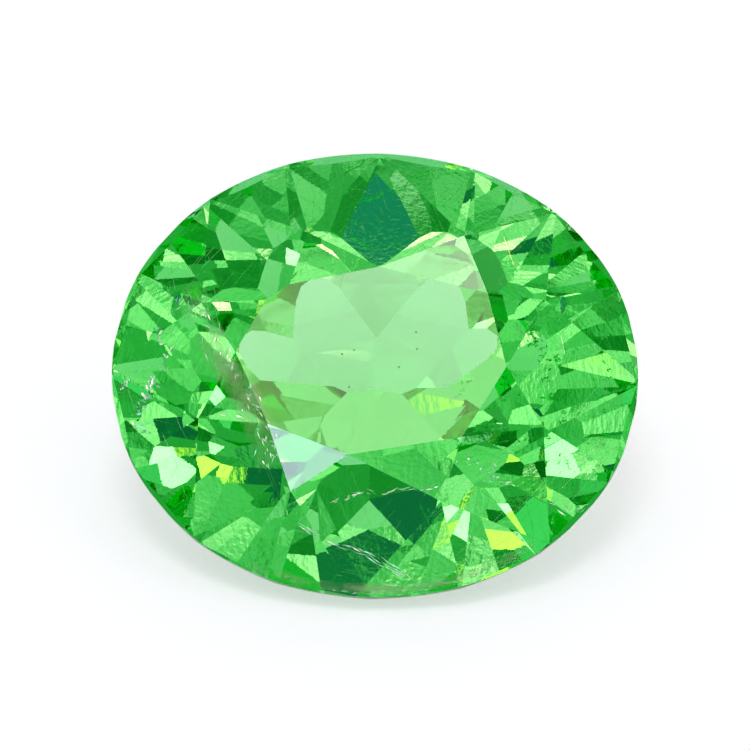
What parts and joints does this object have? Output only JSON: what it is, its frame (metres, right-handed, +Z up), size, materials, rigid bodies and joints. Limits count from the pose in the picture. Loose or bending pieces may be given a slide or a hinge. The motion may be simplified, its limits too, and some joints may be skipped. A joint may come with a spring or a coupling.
{
  "type": "tsavorite garnet",
  "caption": "Clear green tsavorite garnet cut as an oval brilliant, lying face up on one facet of its pavilion.",
  "frame": {"origin": "middle of the bounding box's underside, on the surface that the stone lies on", "axes": "+X along the oval's long axis; +Z up; the table faces up and towards -Y"},
  "size_m": [0.0074, 0.0052, 0.0043],
  "materials": {
    "garnet": "polished clear green crystal, refractive index 1.74"
  },
  "bodies": {
    "root": {"garnet": "garnet"}
  },
  "joints": []
}
